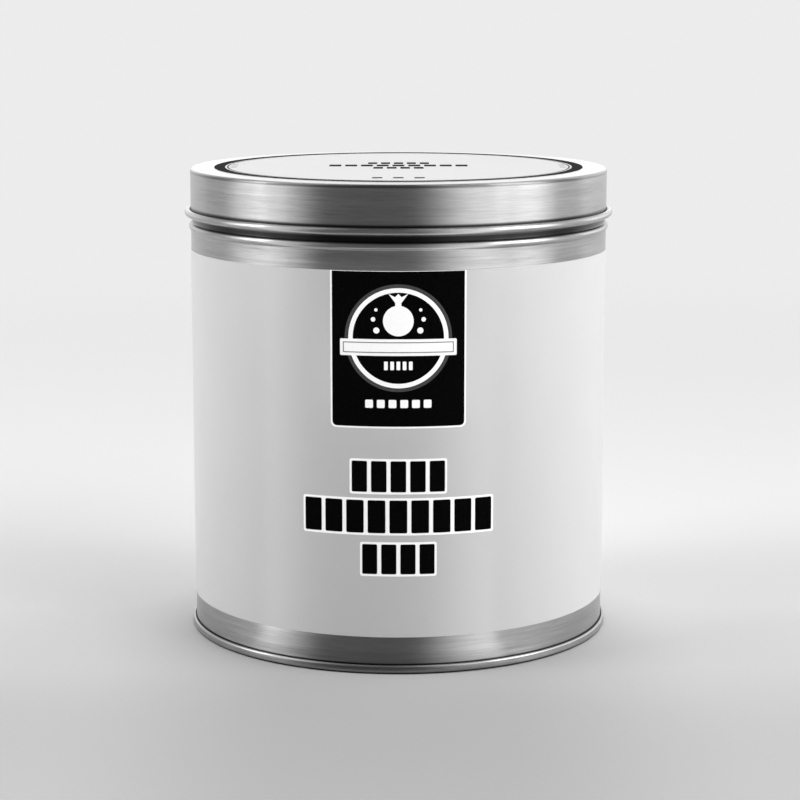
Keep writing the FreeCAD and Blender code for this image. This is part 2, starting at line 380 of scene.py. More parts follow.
def tinplate(name, *painted_shades):
    """Bright tinplate, brushed round the tin, with painted shade in creases and a painted dark
    reflection on a corner; each is (radius, height, reach, tone).
    """
    along_grain = 26.0
    across_grain = 1000.0
    nodes = Nodes(name)
    place, x, y, z = nodes.position()
    out = nodes.length(x, y)
    brushed = nodes.vector(nodes.math("MULTIPLY", x, along_grain),
                           nodes.math("MULTIPLY", y, along_grain),
                           nodes.math("MULTIPLY", nodes.math("ADD", z, out), across_grain))
    fine = nodes.noise(brushed, 5.0, 3.0, 0.7)
    broad = nodes.noise(brushed, 1.1, 2.0, 0.6)
    cloud = nodes.noise(place, 40.0, 3.0)
    grain = nodes.total((fine, 0.6), (broad, 0.4))
    bright = nodes.mix(nodes.spread(grain, 0.0, 1.0, 0.35, 0.65), (0.275, 0.275, 0.277),
                       neutral(0.375))
    # painted shade: near each listed place the metal's colour darkens towards its tone
    for radius, height, reach, tone in painted_shades:
        gap = nodes.length(nodes.math("SUBTRACT", out, radius), nodes.math("SUBTRACT", z, height))
        clear = nodes.spread(gap, 0.0, 1.0, reach * 0.3, reach, smooth=True)
        bright = nodes.mix(clear, neutral(tone), bright)
    nodes.colour(bright)
    haze = nodes.math("ADD", nodes.spread(grain, 0.27, 0.37, 0.3, 0.7),
                      nodes.spread(cloud, -0.03, 0.03))
    nodes.rough(haze)
    nodes.bump(grain, 0.01 * MM, 0.5)
    tangent = nodes.add("ShaderNodeTangent", direction_type="RADIAL", axis="Z")
    nodes.join(tangent.outputs[0], nodes.shader.inputs["Tangent"])
    nodes.set(Metallic=1.0, Anisotropic=0.7, Anisotropic_Rotation=0.25)
    return nodes.material


def label_paper(name, tone, gloss):
    """Smooth label paper with a faint fibre grain; gloss is how strongly it is coated."""
    shaded = 0.97
    nodes = Nodes(name)
    place = nodes.position()[0]
    fibre = nodes.noise(place, 2600.0, 3.0, 0.6)
    cloud = nodes.noise(place, 60.0, 2.0)
    mottled = nodes.total((fibre, 0.5), (cloud, 0.5))
    nodes.colour(nodes.mix(nodes.spread(mottled, 0.0, 1.0, 0.35, 0.65), neutral(tone * shaded),
                           neutral(tone)))
    nodes.rough(nodes.spread(cloud, 0.33, 0.39))
    nodes.bump(fibre, 0.012 * MM, 0.4)
    nodes.set(Coat_Weight=gloss, Coat_Roughness=0.28, Specular_IOR_Level=gloss)
    return nodes.material


def ink(name, tone, paler):
    """Matt printed ink with faint screen mottling."""
    nodes = Nodes(name)
    place = nodes.position()[0]
    mottle = nodes.noise(place, 3000.0, 2.0)
    nodes.colour(nodes.mix(nodes.spread(mottle, 0.0, 1.0, 0.3, 0.7), neutral(tone), neutral(paler)))
    nodes.rough(nodes.spread(mottle, 0.45, 0.6))
    nodes.bump(mottle, 0.004 * MM, 0.4)
    nodes.set(Specular_IOR_Level=0.002)
    return nodes.material


def plain_powder(name, low, high, scale, depth):
    """A matt, lumpy surface such as chalk or sealing compound."""
    nodes = Nodes(name)
    place = nodes.position()[0]
    lumps = nodes.noise(place, scale, 6.0, 0.65)
    nodes.colour(nodes.mix(nodes.spread(lumps, 0.0, 1.0, 0.3, 0.7), low, high))
    nodes.rough(nodes.spread(lumps, 0.8, 0.98))
    nodes.bump(lumps, depth, 0.7)
    return nodes.material


def knitted_cotton(name, middle_x, middle_y):
    """Fine white cotton knit round a sack's middle, dusted with chalk and rubbed a little grey."""
    wales = 100.0
    courses = 10500.0
    nodes = Nodes(name)
    place, x, y, z = nodes.position()
    drift = nodes.noise(place, 300.0, 2.0)
    turned = nodes.math("ARCTAN2", nodes.math("SUBTRACT", y, middle_y),
                        nodes.math("SUBTRACT", x, middle_x))
    wale = nodes.math("ABSOLUTE", nodes.math("SINE", nodes.total((turned, wales), (drift, 1.5))))
    course = nodes.math("SINE", nodes.total((z, courses), (wale, 1.6)))
    knit = nodes.total((wale, 0.6), (course, 0.4))
    dust = nodes.noise(place, 130.0, 5.0, 0.6)
    fuzz = nodes.noise(place, 4200.0, 3.0, 0.7)
    worn = nodes.mix(nodes.spread(dust, 0.0, 1.0, 0.42, 0.62, smooth=True), (0.60, 0.60, 0.59),
                     (0.83, 0.83, 0.82))
    nodes.colour(nodes.mix(nodes.spread(knit, 0.3, 0.0, -0.2, 0.6), worn, (0.50, 0.50, 0.49)))
    nodes.rough(nodes.spread(fuzz, 0.85, 1.0))
    fine = nodes.bump(fuzz, 0.05 * MM, 0.5)
    nodes.bump(knit, 0.12 * MM, 0.8, under=fine)
    nodes.set(Sheen_Weight=0.25, Sheen_Roughness=0.4, Specular_IOR_Level=0.2)
    return nodes.material


def elastic(name):
    """Grey covered elastic, its threads showing as fine ribs."""
    threads = 15700.0
    nodes = Nodes(name)
    place, x, y, z = nodes.position()
    thread = nodes.math("SINE", nodes.math("MULTIPLY", z, threads))
    cross = nodes.noise(place, 2600.0, 3.0, 0.6)
    weave = nodes.total((thread, 0.5), (cross, 1.0))
    nodes.colour(nodes.mix(nodes.spread(weave, 0.0, 1.0, 0.1, 1.0), (0.10, 0.10, 0.105),
                           (0.20, 0.20, 0.205)))
    nodes.rough(nodes.spread(cross, 0.6, 0.85))
    nodes.bump(weave, 0.05 * MM, 0.7)
    return nodes.material


# painted shade, darker than the metal round it, where shade falls in creases, and a painted dark
# reflection on the lid's top corner: radius, height, reach and tone
OVER_SEAM = (WALL_RADIUS, SEAM_HEIGHT, 0.5 * MM, 0.03)
# painted contact shadow under the seam, where the tin stands on the floor
UNDER_SEAM = (seam_box[1].x, 0.0, 0.8 * MM, 0.01)
# painted shadow of the lid's curl on the neck below it
UNDER_LID = (WALL_RADIUS - 0.1 * MM, LID_FOOT - 1.0 * MM, 1.6 * MM, 0.02)
OVER_CURL = (lid_box[1].x - 1.5 * MM, LID_FOOT + 1.8 * MM, 1.0 * MM, 0.03)
UNDER_CURL = (lid_box[1].x - 1.3 * MM, LID_FOOT, 0.9 * MM, 0.02)
# a painted dark reflection along the lid's rounded top corner
LID_CORNER = (lid_box[1].x - 1.55 * MM, LID_TOP - 0.6 * MM, 0.5 * MM, 0.14)

METAL = tinplate("brushed_tinplate", OVER_SEAM, UNDER_SEAM, UNDER_LID)
LID_METAL = tinplate("brushed_lid", OVER_CURL, UNDER_CURL, LID_CORNER)
WRAP_PAPER = label_paper("wrap_label_paper", 0.44, 0.5)
LID_PAPER = label_paper("lid_label_paper", 0.50, 0.01)
BLACK = ink("black_ink", 0.001, 0.003)
WHITE = ink("white_ink", 0.86, 0.90)
GREY = ink("grey_ink", 0.20, 0.25)
DARK_GREY = ink("dark_grey_ink", 0.045, 0.06)
CHALK = plain_powder("chalk_powder", (0.80, 0.80, 0.78), (0.90, 0.90, 0.89), 900.0, 0.15 * MM)
COMPOUND = plain_powder("sealing_compound", (0.16, 0.15, 0.13), (0.22, 0.21, 0.18), 700.0,
                        0.05 * MM)
ELASTIC = elastic("covered_elastic")


# ------------------------------------------------------------ the metal

def wall_piece():
    """The wall: hooked at the foot, beaded at the shoulder, necked in and curled at the rim."""
    hook_gap = 0.34 * MM
    hook_short = 0.15 * MM
    hook_centre = PLATE + hook_gap + PLATE / 2 + LAP
    hook_top = SEAM_HEIGHT - PLATE - hook_short
    bead_foot = 104.75 * MM
    bead_radius = 0.9 * MM
    lower_turn = 50.0
    upper_turn = 65.0
    proud = 0.5 * MM
    inset = 0.38 * MM
    lower_fillet = proud / (1 - math.cos(math.radians(lower_turn))) - bead_radius
    upper_fillet = (proud + inset) / (1 - math.cos(math.radians(upper_turn))) - bead_radius
    rim_radius = 0.65 * MM
    rim_centre = wall_box[1].z - PLATE / 2 - rim_radius
    wall = SheetPath(WALL_MIDDLE + 2 * LAP, hook_top, DOWN)
    wall.run(hook_top - hook_centre)
    wall.bend(-180.0, LAP, 20.0)
    wall.run(bead_foot - hook_centre, 40)
    wall.bend(-lower_turn, lower_fillet)
    wall.bend(lower_turn + upper_turn, bead_radius)
    wall.bend(-upper_turn, upper_fillet)
    wall.run(rim_centre - wall.points[-1][1], 6)
    wall.bend(CURL, rim_radius)
    mesh = finish_mesh(spin(wall.outline(PLATE)), 50.0)
    new_piece("tin_wall", mesh, "tin", METAL, "body_shell", slot="tinplate")


def bottom_piece():
    """The stepped bottom, hooked round the wall's foot in the double seam."""
    step_turn = 35.0
    step_radius = 1.5 * MM
    ring_radius = 43.0 * MM
    corner = 0.8 * MM
    end_hook = 0.70 * MM
    panel = seam_box[1].z - PLATE / 2
    seam_top = SEAM_HEIGHT - PLATE / 2 - LAP
    end = SheetPath(0.0, panel, OUTWARDS)
    end.run(ring_radius, 12)
    end.bend(-step_turn, step_radius)
    end.bend(step_turn, step_radius)
    end.run(WALL_MIDDLE - LAP - corner - end.points[-1][0], 3)
    end.bend(-90.0, corner)
    end.run(end.points[-1][1] - SEAM_CORNER - PLATE / 2)
    end.bend(90.0, SEAM_CORNER)
    end.run(4 * LAP - 2 * SEAM_CORNER)
    end.bend(90.0, SEAM_CORNER)
    end.run(seam_top - end.points[-1][1])
    end.bend(180.0, LAP)
    end.run(end_hook)
    mesh = finish_mesh(spin(end.outline(PLATE)), 50.0)
    new_piece("tin_bottom", mesh, "tin", METAL, "bottom_end", slot="tinplate")


def lid_piece():
    """The lid: a flat panel, a skirt over the neck and an outward curl round its mouth."""
    corner = 0.66 * MM
    curl_radius = 0.775 * MM
    middle = lid_box[1].x - PLATE / 2 - 2 * curl_radius
    panel = LID_TOP - PLATE / 2
    curl_centre = LID_FOOT + PLATE / 2 + curl_radius
    lid = SheetPath(0.0, panel, OUTWARDS)
    lid.run(middle - corner, 24)
    lid.bend(-90.0, corner, 7.5)
    lid.run(lid.points[-1][1] - curl_centre, 8)
    lid.bend(CURL, curl_radius, 7.5)
    mesh = finish_mesh(spin(lid.outline(PLATE)), 50.0)
    new_piece("lid_metal", mesh, "lid", LID_METAL, "lid_cap", slot="tinplate")


def side_weld():
    """The narrow welded lap up the back of the wall."""
    half_width = 0.4 * MM
    half_angle = half_width / WALL_RADIUS
    proud = 0.05 * MM
    foot = SEAM_HEIGHT + 0.3 * MM
    head = 104.5 * MM
    steps = 40
    heights = [foot + (head - foot) * step / steps for step in range(steps + 1)]
    outline = [(WALL_RADIUS - proud, height) for height in heights]
    outline += [(WALL_RADIUS + proud * 0.6, height) for height in reversed(heights)]
    bm = spin(outline, BACK - half_angle, 2 * half_angle, 4)
    new_piece("side_weld", finish_mesh(bm, 50.0), "tin", METAL, slot="tinplate")


wall_piece()
bottom_piece()
lid_piece()
side_weld()


# ----------------------------------------------------------- the labels

def wrap_piece():
    """The paper strip round the wall, its end lapped over its start at the back."""
    half_lap = math.radians(4.0)
    start = BACK - half_lap
    turn = FULL_TURN + 2 * half_lap
    steps = 320
    inner = WRAP_RADIUS - PAPER
    bm = bmesh.new()
    stations = []
    for step in range(steps + 1):
        gone = turn * step / steps
        over = min(max((gone - FULL_TURN + half_lap) / half_lap, 0.0), 1.0)
        lifted = inner + PAPER * over * over * (3 - 2 * over)
        angle = start + gone
        corners = []
        for radius, height in ((lifted, WRAP_FOOT), (lifted + PAPER, WRAP_FOOT),
                               (lifted + PAPER, WRAP_HEAD), (lifted, WRAP_HEAD)):
            corners.append(bm.verts.new((radius * math.cos(angle), radius * math.sin(angle), height)))
        stations.append(corners)
    for before, after in zip(stations, stations[1:]):
        for index in range(4):
            following = (index + 1) % 4
            bm.faces.new((before[index], before[following], after[following], after[index]))
    bm.faces.new(stations[0])
    bm.faces.new(stations[-1])
    new_piece("wrap_paper", finish_mesh(bm, 40.0), "tin", WRAP_PAPER, "wrap_label",
              slot="label_paper")


def disc_piece():
    """The round paper label on the lid."""
    bevel = 0.02 * MM
    outline = [(0.0, DISC_FOOT), (DISC_RADIUS, DISC_FOOT), (DISC_RADIUS, TOP - bevel),
               (DISC_RADIUS - bevel, TOP), (0.0, TOP)]
    new_piece("lid_paper", finish_mesh(spin(outline), 30.0), "lid", LID_PAPER, "lid_label",
              slot="label_paper")


wrap_piece()
disc_piece()

INK = 0.03 * MM
STRIP = 1.0 * MM


def wrapped_print(name, splines, material, layer=1):
    """A printed shape on the wrap label; a higher layer lies on a lower one."""
    lift = INK * (layer - 0.45)
    bm = wrap_round(flat_shape(splines, INK, STRIP), WRAP_RADIUS + lift)
    new_piece(name, finish_mesh(bm, 40.0), "tin", material, slot="label_paper")


def lid_print(name, splines, material):
    """A printed shape on the lid's label, half sunk in the paper."""
    lift = INK * 0.05
    bm = lay_flat(flat_shape(splines, INK), TOP + lift)
    new_piece(name, finish_mesh(bm, 40.0), "lid", material, slot="label_paper")


def bar_row(middle, count, pitch, width, height, corner):
    """A level row of equal bars, centred on the label."""
    first = -pitch * (count - 1) / 2
    return [rounded_bar(first + pitch * number, middle, width, height, corner)
            for number in range(count)]


def block_row(middle, width, height, count):
    """A row of plain blocks, where the photographed tin has a word."""
    gap = 1.0 * MM
    corner = 0.35 * MM
    block = (width - gap * (count - 1)) / count
    return bar_row(middle, count, block + gap, block, height, corner)


# the rows of blocks: name, middle height, width, height and number of blocks
ROWS = (
    ("upper", 49.65 * MM, 22.9 * MM, 7.7 * MM, 5),
    ("middle", 39.65 * MM, 47.1 * MM, 8.2 * MM, 9),
    ("lower", 29.0 * MM, 17.8 * MM, 7.5 * MM, 4),
)


def front_rows():
    """Three rows of black blocks, each on a white bar that shows as an outline."""
    border = 0.55 * MM
    for name, middle, width, height, count in ROWS:
        back = rounded_bar(0.0, middle, width + 2 * border, height + 2 * border, border)
        wrapped_print(f"{name}_row_outline", [back], WHITE)
        wrapped_print(f"{name}_row", block_row(middle, width, height, count), BLACK, 2)


def arc_points(x, y, radius, start, stop, steps=24):
    """Points along an arc, angles in degrees."""
    turns = [math.radians(start + (stop - start) * step / steps) for step in range(steps + 1)]
    return [(x + radius * math.cos(turn), y + radius * math.sin(turn)) for turn in turns]


def badge_outline(half_width, foot, head, corner):
    """A panel with square top corners and rounded lower ones."""
    points = [(half_width, head), (-half_width, head)]
    points += arc_points(corner - half_width, foot + corner, corner, 180.0, 270.0, 6)
    points += arc_points(half_width - corner, foot + corner, corner, 270.0, 360.0, 6)
    return points


def ball_emblem(y):
    """A chalk ball with its tuft, as one outline: a round belly, a narrow neck and a flared top."""
    belly = 3.7 * MM
    neck = 0.75 * MM
    flare = 2.4 * MM
    neck_degrees = math.degrees(math.asin(neck / belly))
    round_part = arc_points(0.0, y, belly, 90.0 + neck_degrees, 450.0 - neck_degrees, 64)
    rise = y + belly + 0.7 * MM
    top = rise + 2.2 * MM
    notch = top - 0.8 * MM
    tuft = [(neck, rise), (flare, top), (flare / 3, notch), (0.0, top), (-flare / 3, notch),
            (-flare, top), (-neck, rise)]
    return round_part + tuft


def emblem():
    """A ring with a chalk ball, puffs of chalk, a blank band and ticks in it."""
    centre = 83.7 * MM
    radius = 12.2 * MM
    wrapped_print("emblem_edge", ring(0.0, centre, radius + 0.9 * MM, radius + 0.05 * MM, 120),
                  DARK_GREY, 3)
    wrapped_print("emblem_ring", ring(0.0, centre, radius, radius - 1.1 * MM, 120), WHITE, 3)
    wrapped_print("emblem_ball", [ball_emblem(87.9 * MM)], WHITE, 3)
    puffs = []
    for side in (-1, 1):
        for along, up, size in ((5.3, 85.6, 0.75), (6.1, 88.3, 0.55), (5.4, 90.6, 0.4)):
            puffs.append(circle(side * along * MM, up * MM, size * MM, 24))
    wrapped_print("emblem_puffs", puffs, WHITE, 3)
    band_middle = 81.45 * MM
    band_width = 28.5 * MM
    band_height = 4.05 * MM
    band = rounded_bar(0.0, band_middle, band_width, band_height, 0.3 * MM)
    wrapped_print("emblem_band", [band], WHITE, 4)
    lines = []
    for inset in (0.7 * MM, 0.95 * MM):
        lines.append(rounded_bar(0.0, band_middle, band_width - 2 * inset, band_height - 2 * inset,
                                 0.2 * MM))
    wrapped_print("emblem_band_line", lines, GREY, 5)
    ticks = bar_row(77.0 * MM, count=5, pitch=1.5 * MM, width=0.9 * MM, height=2.1 * MM,
                    corner=0.2 * MM)
    wrapped_print("emblem_ticks", ticks, WHITE, 3)


def badge():
    """The black badge with its white border, the emblem and a row of dashes."""
    half_width = 16.25 * MM
    foot = 62.05 * MM
    head = WRAP_HEAD - 0.05 * MM
    border = 0.45 * MM
    back = badge_outline(half_width + border, foot - border, head, 1.4 * MM)
    wrapped_print("badge_border", [back], WHITE, 1)
    panel = badge_outline(half_width, foot, head - 0.08 * MM, 1.1 * MM)
    wrapped_print("badge_black", [panel], BLACK, 2)
    emblem()
    dashes = bar_row(67.65 * MM, count=6, pitch=2.84 * MM, width=1.9 * MM, height=2.0 * MM,
                     corner=0.3 * MM)
    wrapped_print("badge_dashes", dashes, WHITE, 3)


def lid_marks():
    """The lid's ring and line, its rows of blocks, its dashes and the small ticks at its sides."""
    edge = DISC_RADIUS - 0.1 * MM
    lid_print("lid_ring", ring(0.0, 0.0, edge, edge - 2.8 * MM, 240), BLACK)
    lid_print("lid_ring_line", ring(0.0, 0.0, edge - 3.3 * MM, edge - 3.7 * MM, 240), DARK_GREY)
    block_height = 5.4 * MM
    for name, middle, width, count in (("back", 9.1 * MM, 16.0 * MM, 5),
                                       ("middle", 1.6 * MM, 36.0 * MM, 9),
                                       ("front", -5.9 * MM, 12.9 * MM, 4)):
        lid_print(f"lid_{name}_row", block_row(middle, width, block_height, count), BLACK)
    dashes = bar_row(-36.0 * MM, count=3, pitch=5.2 * MM, width=2.6 * MM, height=3.4 * MM,
                     corner=0.6 * MM)
    lid_print("lid_dashes", dashes, DARK_GREY)
    ticks = []
    for y in (-4.0 * MM, 0.0, 4.0 * MM):
        ticks += bar_row(y, count=2, pitch=85.2 * MM, width=1.6 * MM, height=1.1 * MM,
                         corner=0.3 * MM)
    lid_print("lid_side_ticks", ticks, GREY)


front_rows()
badge()
lid_marks()

# ------------------------------------------------------ the chalk balls

BALLS = (1, 2, 3)
PLEATS = 19
FRILL_FOLDS = 8
BAND = 1.2 * MM
BAND_GAP = 0.05 * MM


class Ball:
    """Where one ball stands and how big it is, from its CAD boxes."""

    def __init__(self, number):
        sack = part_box(f"chalk_sack_{number}")
        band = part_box(f"neck_band_{number}")
        self.number = number
        self.x = (sack[0].x + sack[1].x) / 2
        self.y = (sack[0].y + sack[1].y) / 2
        self.foot = sack[0].z
        self.radius = (sack[1].x - sack[0].x) / 2
        self.band_foot = band[0].z
        self.band_head = band[1].z
        self.band_outer = (band[1].x - band[0].x) / 2
        self.neck = self.band_outer - BAND - BAND_GAP
        self.phase = number * 2.1

    def round_axis(self, vert):
        """A vertex's distance from the ball's upright axis and its angle round it."""
        x, y = vert.co.x - self.x, vert.co.y - self.y
        return math.hypot(x, y), math.atan2(y, x)

    def put(self, vert, radius, angle):
        """Move a vertex level to a distance and an angle from the ball's axis."""
        vert.co.x = self.x + radius * math.cos(angle)
        vert.co.y = self.y + radius * math.sin(angle)


def unlinked_copy(piece):
    """The piece's mesh with its modifiers applied; the piece itself is removed."""
    shown = piece.evaluated_get(bpy.context.evaluated_depsgraph_get())
    mesh = bpy.data.meshes.new_from_object(shown)
    bpy.data.objects.remove(piece)
    return mesh


def with_modifier(mesh, kind, **settings):
    """The mesh changed by one modifier."""
    piece = bpy.data.objects.new("shaping", mesh)
    bpy.context.scene.collection.objects.link(piece)
    modifier = piece.modifiers.new(kind, kind)
    for key, value in settings.items():
        setattr(modifier, key, value)
    return unlinked_copy(piece)


def swell(mesh, held_above, cap):
    """Blow the bag up from inside as cloth, held above a height, no point moving more than the cap."""
    frames = 20
    piece = bpy.data.objects.new("bag_cloth", mesh)
    scene = bpy.context.scene
    scene.collection.objects.link(piece)
    held = piece.vertex_groups.new(name="held")
    held.add([vert.index for vert in mesh.vertices if vert.co.z > held_above], 1.0, "REPLACE")
    cloth = piece.modifiers.new("cloth", "CLOTH")
    settings = cloth.settings
    settings.vertex_group_mass = "held"
    settings.use_pressure = True
    settings.uniform_pressure_force = 150.0
    settings.effector_weights.gravity = 0.0
    settings.tension_stiffness = 1.0
    settings.compression_stiffness = 1.0
    settings.shear_stiffness = 1.0
    settings.mass = 0.2
    start = [vert.co.copy() for vert in mesh.vertices]
    for frame_number in range(1, frames + 1):
        scene.frame_set(frame_number)
    swollen = unlinked_copy(piece)
    scene.frame_set(1)
    for vert, before in zip(swollen.vertices, start):
        move = vert.co - before
        if move.length > cap:
            vert.co = before + move * (cap / move.length)
    return swollen


def smooth_step(value, low, high):
    """0 below low, 1 above high, and a smooth rise between them."""
    share = min(max((value - low) / (high - low), 0.0), 1.0)
    return share * share * (3 - 2 * share)


def uneven(angle, phase, amount):
    """An angle moved a little one way or the other, so that pleats aren't evenly spaced."""
    reach = 2.2
    wander = noise.noise(Vector((reach * math.cos(angle), reach * math.sin(angle), phase)))
    return angle + amount * wander


def pleat(turned):
    """A pleat's height at an angle, from valley to ridge, close to nought on average."""
    average = 0.62
    return abs(math.sin(PLEATS * turned / 2)) - average


def bag_outline(ball, shrink):
    """The outside of the bag from the middle of its base to its neck, a little small."""
    flat = 7.0 * MM
    side = 2.0 * MM
    shoulder = 22.0 * MM
    turn = 70.0
    belly = ball.radius - shrink
    gather = (belly - ball.neck) / (1 - math.cos(math.radians(turn))) - shoulder
    bag = SheetPath(0.0, ball.foot, OUTWARDS)
    bag.run(flat)
    bag.bend(90.0, belly - flat)
    bag.run(side)
    bag.bend(turn, shoulder)
    bag.bend(-turn, gather)
    bag.run(max(ball.band_head - bag.points[-1][1], 0.5 * MM), 3)
    outline = [(radius, height) for radius, height, heading in bag.points]
    return outline + [(0.0, outline[-1][1])]


def gather_bag(mesh, ball):
    """Pleats running down from the neck, lumps of chalk under the cloth and a flat base."""
    pleat_depth = 1.25 * MM
    under_band = 0.35
    lump_depth = 0.5 * MM
    lump_scale = 110.0
    belly_height = ball.foot + ball.radius
    roof = ball.radius - 0.05 * MM
    for vert in mesh.vertices:
        radius, angle = ball.round_axis(vert)
        share = smooth_step(vert.co.z, belly_height - 2 * MM, ball.band_foot - 3 * MM)
        turned = uneven(angle, ball.phase, 0.35)
        reach = 0.6 + 0.4 * math.sin(5 * turned + ball.phase)
        deep = pleat_depth * share * (share + (1 - share) * reach)
        if vert.co.z > ball.band_foot - 1 * MM:
            deep *= under_band
        place = Vector((vert.co.x - ball.x, vert.co.y - ball.y, vert.co.z)) * lump_scale
        lump = noise.noise(place) + 0.5 * noise.noise(place * 2.3)
        upright = 1 - smooth_step(vert.co.z, belly_height, ball.band_foot)
        grown = radius + deep * pleat(turned) + lump_depth * lump * upright
        grown = min(grown, roof) if radius > 1 * MM else radius
        ball.put(vert, grown, angle)
        vert.co.z = max(vert.co.z, ball.foot)


def frill_mesh(ball):
    """The open frill above the band: a pleated funnel with an uneven cut edge."""
    cloth = 0.45 * MM
    fold_depth = 2.1 * MM
    fine_depth = 0.5 * MM
    edge_wander = 1.6 * MM
    edge_dip = 0.8 * MM
    closing = 0.12
    twist = 0.25
    start = ball.band_foot + 1 * MM
    outer = SheetPath(ball.neck - 0.1 * MM, start, UP)
    outer.run(ball.band_head - start, 3)
    outer.bend(-42.0, 6 * MM, 5.0)
    outer.run(5.5 * MM, 8)
    outer.bend(24.0, 9 * MM, 4.0)
    lip = outer.points[-1]
    floor_height = ball.band_head + 2.2 * MM
    inner = []
    steps = 16
    for step in range(steps + 1):
        share = step / steps
        across = (lip[0] - cloth) * (1 - share)
        inner.append((across, lip[1] - (lip[1] - floor_height) * share ** 0.72))
    outline = [(0.0, start)] + [(radius, height) for radius, height, heading in outer.points] + inner
    bm = spin(outline, steps=360, centre=(ball.x, ball.y))
    for vert in bm.verts:
        radius, angle = ball.round_axis(vert)
        share = smooth_step(vert.co.z, ball.band_head - 0.5 * MM, lip[1])
        turned = uneven(angle, ball.phase + 5.0, 0.55)
        wave = math.sin(FRILL_FOLDS * turned) + 0.35 * math.sin((2 * FRILL_FOLDS + 3) * turned)
        inward = min(radius / ball.neck, 1.0)
        grown = radius + inward * (fold_depth * share * wave + fine_depth * (1 - share) * pleat(turned))
        grown *= 1 - closing * share
        wander = noise.noise(Vector((math.cos(angle), math.sin(angle), ball.phase)))
        ball.put(vert, grown, angle + twist * share)
        vert.co.z += edge_wander * share * wander - edge_dip * share * abs(wave)
    return bm


def sack_piece(ball):
    """A cotton sack swollen by its chalk, gathered at the neck, with a frill above the band."""
    swelling = 0.8 * MM
    swelling_limit = 1.6 * MM
    bag = finish_mesh(spin(bag_outline(ball, swelling), steps=96, centre=(ball.x, ball.y)))
    bag = with_modifier(bag, "REMESH", mode="VOXEL", voxel_size=1.3 * MM)
    bag = swell(bag, ball.band_foot - 0.5 * MM, swelling_limit)
    bag = with_modifier(bag, "SUBSURF", levels=1)
    gather_bag(bag, ball)
    bm = frill_mesh(ball)
    bm.from_mesh(bag)
    cotton = knitted_cotton(f"knitted_cotton_{ball.number}", ball.x, ball.y)
    sack = new_piece(f"cotton_sack_{ball.number}", finish_mesh(bm, 60.0), f"ball_{ball.number}",
                     cotton, f"chalk_sack_{ball.number}", slot="cotton")


def chalk_piece(ball):
    """The lumpy loose chalk inside a sack, clear of the cloth and its pleats."""
    clear = 2.8 * MM
    shrink = 0.03
    outline = bag_outline(ball, clear)
    top = ball.band_foot - 12 * MM
    outline = [(radius, height + clear) for radius, height in outline if height < top]
    outline.append((0.0, outline[-1][1] + 0.5 * MM))
    bm = spin(outline, steps=72, centre=(ball.x, ball.y))
    for vert in bm.verts:
        lump = noise.noise(vert.co * 240.0) + 0.4 * noise.noise(vert.co * 700.0)
        inward = Vector((ball.x, ball.y, ball.foot + ball.radius)) - vert.co
        vert.co += inward * (shrink + shrink * lump)
    new_piece(f"chalk_{ball.number}", finish_mesh(bm, 80.0), f"ball_{ball.number}", CHALK,
              f"chalk_fill_{ball.number}", slot="chalk")


def band_piece(ball):
    """The ribbed elastic band round the neck."""
    edge = BAND / 2
    band = SheetPath(ball.band_outer, ball.band_foot + edge, UP)
    straight = ball.band_head - ball.band_foot - BAND
    band.run(straight, 4)
    band.bend(180.0, edge, 20.0)
    band.run(straight, 4)
    band.bend(180.0, edge, 20.0)
    outline = [(radius, height) for radius, height, heading in band.points[:-1]]
    bm = spin(outline, steps=360, centre=(ball.x, ball.y))
    ribs = 40
    rib_depth = 0.09 * MM
    cord_depth = 0.07 * MM
    cord_pitch = 0.8 * MM
    for vert in bm.verts:
        radius, angle = ball.round_axis(vert)
        outside = smooth_step(radius, ball.band_outer - BAND, ball.band_outer)
        cords = cord_depth * math.cos((vert.co.z - ball.band_foot) * FULL_TURN / cord_pitch)
        sunk = rib_depth * (1 + math.cos(ribs * angle)) + cord_depth + cords
        ball.put(vert, radius - outside * sunk, angle)
    new_piece(f"elastic_band_{ball.number}", finish_mesh(bm, 70.0), f"ball_{ball.number}", ELASTIC,
              f"neck_band_{ball.number}", slot="elastic")


for ball_number in BALLS:
    chalk_ball = Ball(ball_number)
    sack_piece(chalk_ball)
    chalk_piece(chalk_ball)
    band_piece(chalk_ball)

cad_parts["seam_compound"].data.materials.clear()
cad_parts["seam_compound"].data.materials.append(COMPOUND)


# ------------------------------------------------- stage, lights, camera

PALE = 0.84


def floor():
    """A wide pale floor with painted shade, darker in front of the tin and close beside it, which glows
    evenly further off.
    """
    reach = 6.0
    bm = bmesh.new()
    bmesh.ops.create_circle(bm, cap_ends=True, radius=reach, segments=96)
    mesh = finish_mesh(bm)
    nodes = Nodes("pale_floor")
    place, x, y, z = nodes.position()
    cloud = nodes.noise(place, 3.0, 2.0)
    # painted shade: the floor's colour is darker towards the front of the tin and within a few
    # centimetres of its sides
    graded = nodes.spread(y, 0.0, 1.0, -0.09, 0.10, smooth=True)
    aside = nodes.spread(nodes.math("ABSOLUTE", x), 0.0, 0.36, 0.02, 0.08, smooth=True)
    level = nodes.spread(y, 0.6, 1.3, -0.12, 0.0, smooth=True)
    tone = nodes.math("ADD", nodes.math("ADD", graded, nodes.math("MULTIPLY", aside, level)),
                      nodes.spread(cloud, -0.03, 0.03))
    out = nodes.length(x, y)
    far = nodes.spread(out, 0.0, 1.0, 0.13, 0.8, smooth=True)
    nodes.join(nodes.math("MULTIPLY", far, PALE), nodes.shader.inputs["Emission Strength"])
    lit = nodes.mix(tone, neutral(0.34), neutral(0.62))
    nodes.colour(nodes.mix(far, lit, neutral(0.0)))
    nodes.set(Roughness=0.8, Specular_IOR_Level=0.0, Emission_Color=(1.0, 1.0, 1.0, 1.0))
    mesh.materials.append(nodes.material)
    piece = bpy.data.objects.new("floor", mesh)
    bpy.context.scene.collection.objects.link(piece)


